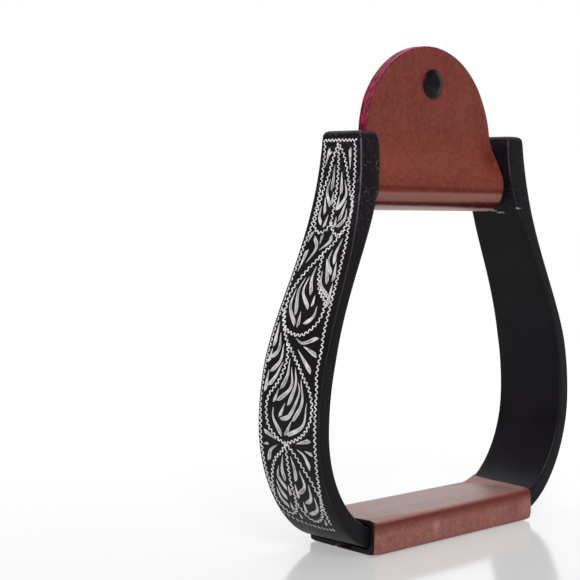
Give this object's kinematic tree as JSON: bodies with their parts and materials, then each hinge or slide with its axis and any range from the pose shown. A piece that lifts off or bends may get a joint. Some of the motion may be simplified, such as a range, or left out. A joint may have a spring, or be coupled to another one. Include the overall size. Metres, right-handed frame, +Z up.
{
  "type": "western stirrup",
  "caption": "Bell-shaped cast stirrup with a pinned roller neck, a riveted round-topped neck leather that swings on the pin, and a leather-wrapped tread.",
  "frame": {"origin": "on the surface the stirrup stands on, under the middle of the tread", "axes": "+Z up from the tread to the neck, X from arm to arm with the engraved outer face towards -X, -Y to the front"},
  "size_m": [0.1474, 0.0362, 0.1878],
  "materials": {
    "black_casting": "cast aluminium under satin black paint, engraved on one outer face",
    "bare_steel": "turned steel",
    "brown_leather": "smooth reddish-brown leather with a painted edge",
    "black_rivet": "black enamelled rivet"
  },
  "bodies": {
    "stirrup": {"frame": "black_casting", "neck_pin": "bare_steel", "tread_leather": "brown_leather"},
    "roller": {"neck_sleeve": "bare_steel"},
    "flap": {"neck_leather": "brown_leather", "rivet_post": "black_rivet", "rivet_cap": "black_rivet"}
  },
  "joints": [
    {"name": "roller_turn", "type": "hinge", "parent": "stirrup", "child": "roller", "pos_m": [0, 0, 0.135], "axis": [1, 0, 0], "continuous": true},
    {"name": "flap_swing", "type": "hinge", "parent": "stirrup", "child": "flap", "pos_m": [0, 0, 0.135], "axis": [1, 0, 0], "continuous": true}
  ]
}
